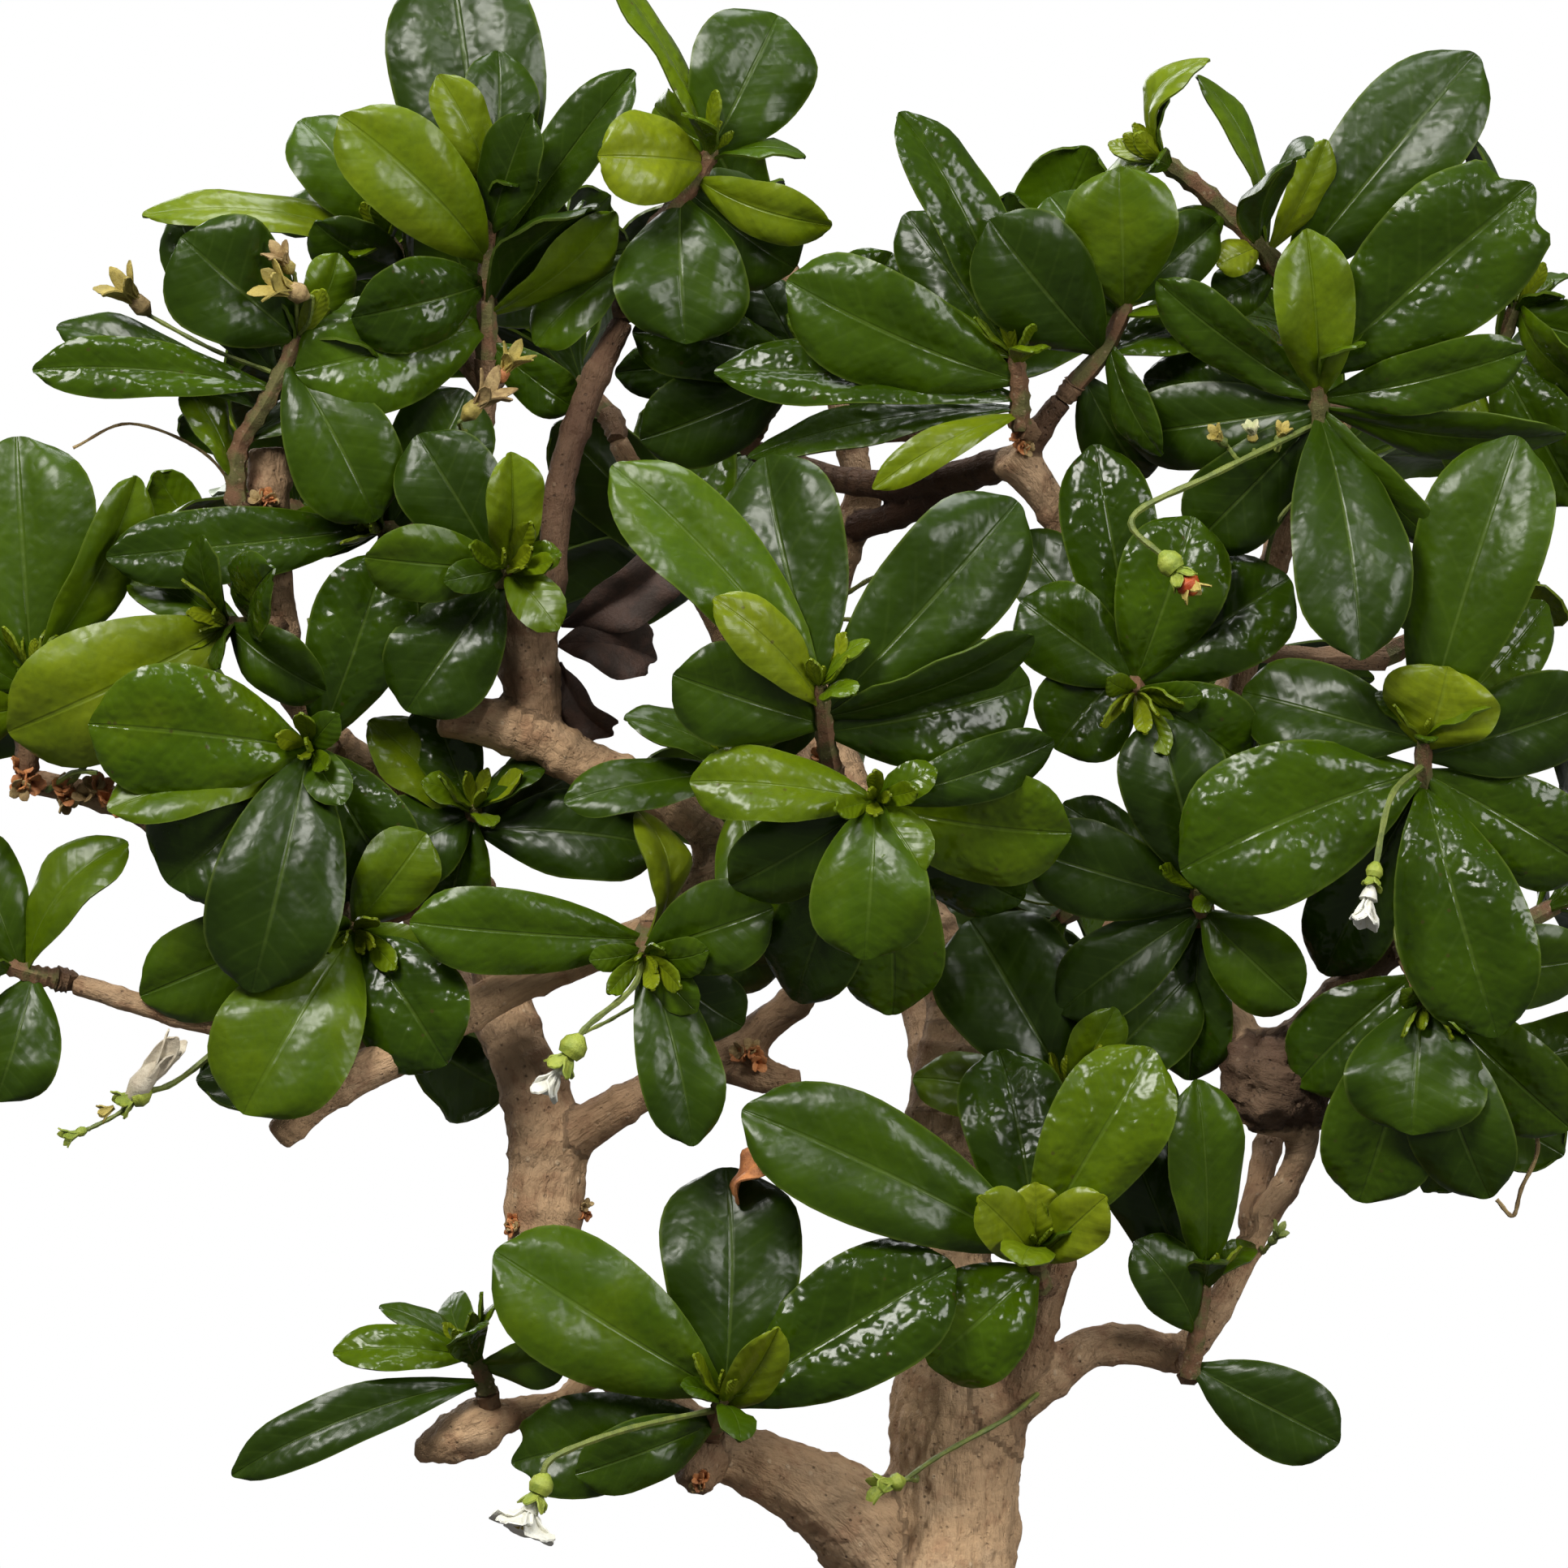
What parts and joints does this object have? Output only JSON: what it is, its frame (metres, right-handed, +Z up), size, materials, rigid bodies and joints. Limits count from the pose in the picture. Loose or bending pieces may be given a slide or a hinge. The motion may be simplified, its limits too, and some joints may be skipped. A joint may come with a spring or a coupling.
{
  "type": "fukien tea bonsai",
  "caption": "Fukien tea bonsai: a slanting trunk with an open crown of small glossy leaves and a few white flowers, in a plain glazed oval pot that rests on its flat foot.",
  "frame": {"origin": "centre of the pot's flat foot, on the surface that the pot stands on", "axes": "+Z up along the tree, +X along the pot's long side to the right of the front view, -Y towards the viewer of the front view"},
  "size_m": [0.2323, 0.1514, 0.3291],
  "materials": {
    "bark": "matte",
    "leaf": "gloss",
    "petal": "satin",
    "soil": "matte",
    "glaze": "gloss",
    "screen": "matte"
  },
  "bodies": {
    "root": {"trunk_and_branches": "bark", "flower_1": "petal", "flower_2": "petal", "flower_3": "petal", "flower_4": "petal", "spray_topLeft": "leaf", "spray_topLeftSide": "leaf", "spray_upperLeft": "leaf", "spray_topMiddle": "leaf", "spray_middleTop": "leaf", "spray_middleBack": "leaf", "spray_upperRight": "leaf", "spray_topRight": "leaf", "spray_rightTuft": "leaf", "spray_rightEdge": "leaf", "spray_heartUpper": "leaf", "spray_heartLower": "leaf", "spray_greyFan": "leaf", "spray_crossingTuft": "leaf", "spray_limbTuft": "leaf", "spray_leftLower": "leaf", "spray_leftMiddle": "leaf", "spray_leftYoung": "leaf", "spray_leftEdgeUpper": "leaf", "spray_leftEdgeLower": "leaf", "spray_forkTuft": "leaf", "spray_longLeafTuft": "leaf", "spray_lowerTuft": "leaf", "spray_lowerRight": "leaf", "spray_rightLower": "leaf", "spray_leftSpur": "leaf", "spray_rightHeart": "leaf", "spray_rightSkirt": "leaf", "spray_rightInner": "leaf", "spray_innerLeaves": "leaf", "spray_tanTuft": "leaf", "spray_back01": "leaf", "spray_back02": "leaf", "spray_back03": "leaf", "spray_back04": "leaf", "spray_back05": "leaf", "spray_back06": "leaf", "spray_back07": "leaf", "spray_back08": "leaf", "spray_back09": "leaf", "spray_back10": "leaf", "spray_back11": "leaf", "spray_back12": "leaf", "spray_back13": "leaf", "spray_back14": "leaf", "spray_back15": "leaf", "spray_back16": "leaf", "spray_back17": "leaf", "pot": "glaze", "drain_screen_left": "screen", "drain_screen_right": "screen", "soil": "soil"}
  },
  "joints": []
}
